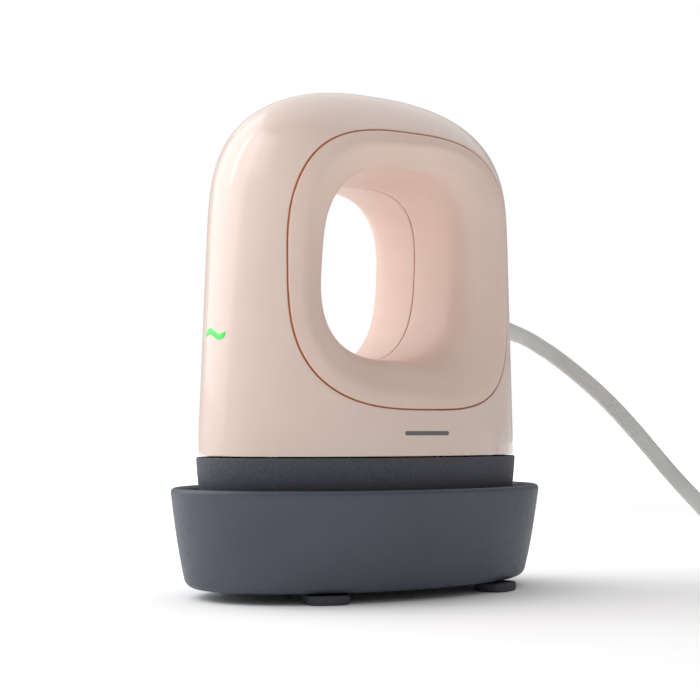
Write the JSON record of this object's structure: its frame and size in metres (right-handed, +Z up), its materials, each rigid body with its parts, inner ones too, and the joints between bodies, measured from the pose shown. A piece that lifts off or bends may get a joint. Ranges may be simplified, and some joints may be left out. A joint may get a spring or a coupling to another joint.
{
  "type": "clothes iron",
  "caption": "Small upright clothes iron with a hand hole through its body, an arched glossy shell and a mains cord, standing in a rounded insulated cradle.",
  "frame": {"origin": "on the standing surface, under the middle of the cradle", "axes": "+Z up; -X towards the end with the indicator light, +X towards the end where the cord comes out; +Y to the iron's right when looking along -X"},
  "size_m": [0.2532, 0.0956, 0.1347],
  "materials": {
    "shell": "glossy moulded shell",
    "insert": "satin moulded surface",
    "skirt": "fine moulded grain",
    "cradle": "satin moulded surface",
    "rubber": "matte",
    "liner": "pressed heat-resistant felt",
    "plate": "cast, machined sole",
    "steel": "plain sheet and zinc-plated screws",
    "element": "heat-dulled sheath",
    "mica": "pressed mineral board",
    "frame": "plain moulded",
    "circuit": "solder-mask coating",
    "black": "plain moulded",
    "blue": "plain moulded",
    "red": "plain moulded",
    "white": "plain moulded",
    "lamp": "clear cast lens",
    "lit": "clear guide that glows green",
    "clear": "clear moulded guide",
    "cord": "satin sheath"
  },
  "bodies": {
    "cradle": {"cradle_tray": "cradle", "cradle_liner": "liner", "cradle_foot_1": "rubber", "cradle_foot_2": "rubber", "cradle_foot_3": "rubber", "cradle_foot_4": "rubber", "cord_coil": "cord", "cord_tail": "cord", "coil_tie": "black", "plug_body": "cord", "plug_blade_1": "steel", "plug_blade_2": "steel"},
    "iron": {"outer_shell": "shell", "left_handle_insert": "insert", "right_handle_insert": "insert", "heat_skirt": "skirt", "heat_plate": "plate", "element_cover": "steel", "heat_shield": "steel", "plate_screw_1": "steel", "plate_screw_2": "steel", "plate_screw_3": "steel", "plate_screw_4": "steel", "shell_screw_1": "steel", "shell_screw_2": "steel", "shell_screw_3": "steel", "shell_screw_4": "steel", "heating_element": "element", "insulation_pad": "mica", "chassis_plate": "frame", "spine_frame": "frame", "terminal_block": "frame", "cord_clamp": "frame", "control_board": "circuit", "light_board": "circuit", "button_board": "circuit", "heater_relay": "black", "microcontroller": "black", "tact_switch": "black", "filter_capacitor": "blue", "heater_lead_neutral": "blue", "mains_lead_neutral": "blue", "heater_lead_live": "red", "mains_lead_live": "red", "thermal_fuse": "white", "thermistor": "white", "sensor_lead": "white", "button_lead": "white", "light_lead": "white", "indicator_led_low": "lamp", "indicator_led_medium": "lamp", "indicator_led_high": "lamp", "light_pipe_low": "lit", "light_pipe_medium": "clear", "light_pipe_high": "clear", "cord_bushing": "cord", "cord_inner_end": "cord", "power_cord": "cord"},
    "power_button": {"power_button": "insert"}
  },
  "joints": [
    {"name": "iron_lift", "type": "slide", "parent": "cradle", "child": "iron", "axis": [0, 0, 1], "range_m": [0, 0.045]},
    {"name": "button_press", "type": "slide", "parent": "iron", "child": "power_button", "axis": [1, 0, 0], "range_m": [-0.0012, 0], "stiffness_N_per_m": 300}
  ]
}
